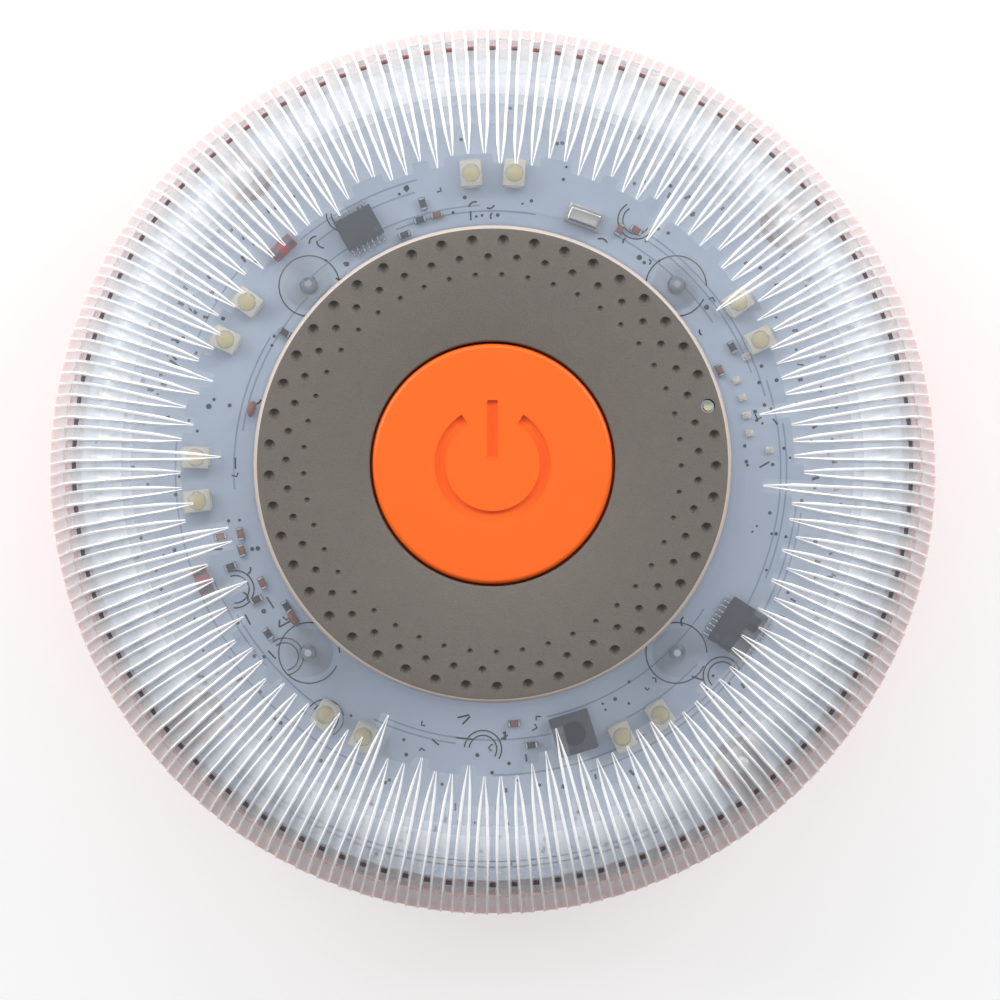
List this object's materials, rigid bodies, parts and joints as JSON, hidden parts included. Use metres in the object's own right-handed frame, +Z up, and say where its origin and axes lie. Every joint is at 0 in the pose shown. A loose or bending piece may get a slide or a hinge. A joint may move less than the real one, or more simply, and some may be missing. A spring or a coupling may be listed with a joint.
{
  "type": "roadside warning beacon",
  "caption": "Round battery beacon for roadside emergencies: clear ribbed lens over an LED board, centre push button, magnetic base with a bayonet battery door.",
  "frame": {"origin": "centre of the foot ring's underside, where the beacon stands on a car roof or a road", "axes": "+Z up along the beacon's axis, out through the push button. +X and +Y lie in the plane it stands on; the battery cells lie along X."},
  "size_m": [0.11, 0.11, 0.0423],
  "materials": {
    "orange_abs": "orange moulded ABS with a fine satin grain",
    "orange_button": "bright orange moulded plastic, satin",
    "grey_plate": "warm grey moulded plastic with a fine matt grain",
    "clear_lens": "clear polycarbonate, smooth inside and ribbed outside",
    "white_board": "bluish white solder mask on fibreglass",
    "black_plastic": "black moulded plastic",
    "black_rubber": "matt black rubber",
    "silicone": "grey silicone cord",
    "spring_steel": "bright drawn spring wire",
    "nickel_plate": "nickel plated steel strip",
    "zinc_screw": "bright zinc plating",
    "magnet_metal": "nickel plated magnet and steel cup",
    "cell_jacket": "plain dark printed foil jacket",
    "black_epoxy": "black moulded epoxy",
    "ferrite": "dark grey ferrite",
    "red_epoxy": "orange red moulded epoxy",
    "clear_epoxy": "clear yellowish epoxy",
    "led_package": "white LED package with a clear silicone dome"
  },
  "bodies": {
    "housing": {"base_shell": "orange_abs", "cover_plate": "grey_plate", "lens_dome": "clear_lens", "circuit_board": "white_board", "battery_cradle": "black_plastic", "button_guide": "black_plastic", "switch_body": "black_plastic", "foot_ring": "black_rubber", "stem_seal": "black_rubber", "rim_gasket": "silicone", "return_spring": "spring_steel", "contact_spring_1": "spring_steel", "contact_spring_2": "spring_steel", "contact_spring_3": "spring_steel", "contact_minus": "nickel_plate", "contact_plus": "nickel_plate", "contact_bridge_1": "nickel_plate", "contact_bridge_2": "nickel_plate", "crystal": "nickel_plate", "case_screw_1": "zinc_screw", "case_screw_2": "zinc_screw", "case_screw_3": "zinc_screw", "case_screw_4": "zinc_screw", "board_screw_1": "zinc_screw", "board_screw_2": "zinc_screw", "board_screw_3": "zinc_screw", "board_screw_4": "zinc_screw", "cradle_screw_1": "zinc_screw", "cradle_screw_2": "zinc_screw", "battery_cell_1": "cell_jacket", "battery_cell_2": "cell_jacket", "battery_cell_3": "cell_jacket", "controller_chip": "black_epoxy", "driver_chip": "black_epoxy", "inductor": "ferrite", "tantalum_capacitor_1": "red_epoxy", "tantalum_capacitor_2": "red_epoxy", "light_sensor": "clear_epoxy", "light_pipe": "clear_epoxy", "led_1": "led_package", "led_2": "led_package", "led_3": "led_package", "led_4": "led_package", "led_5": "led_package", "led_6": "led_package", "led_7": "led_package", "led_8": "led_package", "led_9": "led_package", "led_10": "led_package", "led_11": "led_package", "led_12": "led_package"},
    "button": {"button_cap": "orange_button"},
    "switch_plunger": {"switch_plunger": "nickel_plate"},
    "door": {"battery_door": "orange_abs", "door_seal": "black_rubber", "magnet": "magnet_metal", "magnet_cup": "magnet_metal"}
  },
  "joints": [
    {"name": "button_press", "type": "slide", "parent": "housing", "child": "button", "axis": [0, 0, -1], "range_m": [0, 0.0015], "stiffness_N_per_m": 800, "springref_m": -0.001, "deforming": ["return_spring"]},
    {"name": "switch_press", "type": "slide", "parent": "housing", "child": "switch_plunger", "axis": [0, 0, -1], "range_m": [0, 0.0015], "stiffness_N_per_m": 200, "springref_m": -0.0005},
    {"name": "battery_door_turn", "type": "hinge", "parent": "housing", "child": "door", "pos_m": [0, 0, 0.003], "axis": [0, 0, 1], "range_deg": [0, 30]}
  ],
  "couplings": [
    {"joint": "switch_press", "follows": "button_press", "ratio": 1}
  ]
}
